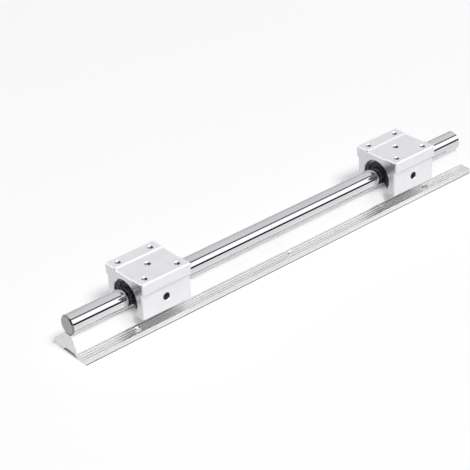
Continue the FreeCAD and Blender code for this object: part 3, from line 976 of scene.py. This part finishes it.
def set_screw(side, centre):
    """The black socket set screw in the housing's side."""
    outer = SHOULDER_INSET + SET_SCREW_RECESS - HOUSING_HALF
    inner = -BORE_RADIUS - SET_SCREW_GAP
    radius = SET_SCREW_RADIUS - SET_SCREW_GAP
    profile = [(outer, 0), (outer, radius - SCREW_EDGE), (outer + SCREW_EDGE, radius), (inner, radius),
               (inner, 0)]
    place = (centre, 0, SHAFT_HEIGHT)
    piece = lathe(side + "_set_screw_body", profile, HOLE_STEPS, place, axis="Y")
    cut(piece, [hexagon_bar("key", SET_SCREW_KEY, outer - OVERRUN, outer + KEY_DEPTH, place, "Y")])
    shade(piece)
    paint(piece, BLACK)
    socket, = add_finishes(piece, SOCKET_HIGHLIGHT)
    # The socket's walls and floor take the painted highlight
    for face in piece.data.polygons:
        off_axis = math.hypot(face.center.x - centre, face.center.z - SHAFT_HEIGHT)
        behind = face.center.y - outer
        if off_axis < SOCKET_REACH and FACE_SLACK < behind < KEY_DEPTH + FACE_SLACK:
            face.material_index = socket
    settle(piece, side + "_carriage", "screw_steel", side + "_set_screw")


def carriage(side):
    """Every piece of one carriage."""
    low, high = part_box(side + "_housing")
    centre = (low.x + high.x) / 2
    housing(side, centre)
    threads(side, centre)
    bushing(side, centre)
    set_screw(side, centre)


# The studio

def floor():
    """A plain pale floor that keeps the rail's shadow."""
    work = bmesh.new()
    bmesh.ops.create_grid(work, x_segments=1, y_segments=1, size=FLOOR_HALF)
    sheet = from_bmesh("studio_floor", work)
    sheet.data.materials.append(finish("floor_white", grey(FLOOR_TONE), 0.0, 0.9, Specular_IOR_Level=0.0,
                                       Emission_Color=(1, 1, 1, 1), Emission_Strength=FLOOR_GLOW))


def world():
    """A white surround: even for soft light, banded for the polished shaft, pure white behind."""
    surround = bpy.data.worlds.new("studio")
    bpy.context.scene.world = surround
    surround.use_nodes = True
    nodes, links = surround.node_tree.nodes, surround.node_tree.links
    nodes.clear()

    def background(strength, colour=None):
        """Light of one strength, white or of the linked colour."""
        node = nodes.new("ShaderNodeBackground")
        node.inputs["Strength"].default_value = strength
        node.inputs["Color"].default_value = (1, 1, 1, 1)
        if colour is not None:
            links.new(colour, node.inputs["Color"])
        return node.outputs["Background"]

    def choose(factor, first, second):
        """The first light where the factor is 0, the second where it is 1."""
        node = nodes.new("ShaderNodeMixShader")
        links.new(factor, node.inputs["Fac"])
        links.new(first, node.inputs[1])
        links.new(second, node.inputs[2])
        return node.outputs["Shader"]

    def beyond(value, start, end):
        """Goes from 0 to 1 while the value goes from the start to the end."""
        edge = nodes.new("ShaderNodeMapRange")
        edge.interpolation_type = "SMOOTHSTEP"
        edge.inputs["From Min"].default_value = start
        edge.inputs["From Max"].default_value = end
        links.new(value, edge.inputs["Value"])
        return edge.outputs["Result"]

    place = nodes.new("ShaderNodeTexCoord")
    parts = nodes.new("ShaderNodeSeparateXYZ")
    front = nodes.new("ShaderNodeMath")
    front.operation = "MULTIPLY"
    front.inputs[1].default_value = -1.0
    angle = nodes.new("ShaderNodeMath")
    angle.operation = "ARCTAN2"
    share = nodes.new("ShaderNodeMapRange")
    share.inputs["From Min"].default_value = -math.pi
    share.inputs["From Max"].default_value = math.pi
    bands = nodes.new("ShaderNodeValToRGB")
    links.new(place.outputs["Generated"], parts.inputs[0])
    links.new(parts.outputs["Y"], front.inputs[0])
    links.new(parts.outputs["Z"], angle.inputs[0])
    links.new(front.outputs["Value"], angle.inputs[1])
    links.new(angle.outputs["Value"], share.inputs["Value"])
    links.new(share.outputs["Result"], bands.inputs["Fac"])
    ramp = bands.color_ramp
    ramp.interpolation = "LINEAR"
    while len(ramp.elements) < len(BANDS):
        ramp.elements.new(0.5)
    for element, (degrees, level) in zip(ramp.elements, BANDS):
        element.position = (degrees + 180) / 360
        element.color = (level, level, level * BAND_CAST, 1)

    slope, along = angle.outputs["Value"], parts.outputs["X"]
    banded = background(1.0, bands.outputs["Color"])
    dim = choose(beyond(slope, *NEAR_SLOPE), background(NEAR_LEVEL), banded)
    near = choose(beyond(along, *NEAR_END), banded, dim)
    back = choose(beyond(along, *FAR_END), banded, background(BACK_LEVEL))
    around = choose(beyond(slope, *BACK_SLOPE), near, back)
    ways = nodes.new("ShaderNodeLightPath")
    seen = choose(ways.outputs["Is Glossy Ray"], background(DIFFUSE_LEVEL), around)
    clear = choose(ways.outputs["Is Camera Ray"], seen, background(1.0))
    out = nodes.new("ShaderNodeOutputWorld")
    links.new(clear, out.inputs["Surface"])


def lamp():
    """A large soft lamp, high in front, that faces the rail's middle."""
    data = bpy.data.lights.new("key", "AREA")
    data.shape = "DISK"
    data.size = LAMP_SIZE
    data.energy = LAMP_POWER
    light = bpy.data.objects.new("key", data)
    bpy.context.scene.collection.objects.link(light)
    light.location = LAMP_PLACE
    light.rotation_euler = (-Vector(LAMP_PLACE)).to_track_quat("-Z", "Y").to_euler()


def camera():
    """The photograph's view, from the near end, in front and above."""
    back = Vector((math.sin(AZIMUTH) * math.cos(ELEVATION), -math.cos(AZIMUTH) * math.cos(ELEVATION),
                   math.sin(ELEVATION)))
    level = Vector((math.cos(AZIMUTH), math.sin(AZIMUTH), 0))
    upright = back.cross(level)
    right = level * math.cos(ROLL) + upright * math.sin(ROLL)
    up = upright * math.cos(ROLL) - level * math.sin(ROLL)
    data = bpy.data.cameras.new("camera")
    data.sensor_width = 36
    data.lens = FOCAL_PIXELS * data.sensor_width / PICTURE
    data.clip_end = 50
    view = bpy.data.objects.new("camera", data)
    bpy.context.scene.collection.objects.link(view)
    place = VIEW_TARGET + back * VIEW_DISTANCE
    view.matrix_world = Matrix(((right.x, up.x, back.x, place.x), (right.y, up.y, back.y, place.y),
                                (right.z, up.z, back.z, place.z), (0, 0, 0, 1)))
    bpy.context.scene.camera = view


support_rail()
round_shaft()
shaft_screws()
carriage("near")
carriage("far")
floor()
world()
lamp()
camera()
bpy.context.scene.view_settings.view_transform = "Standard"
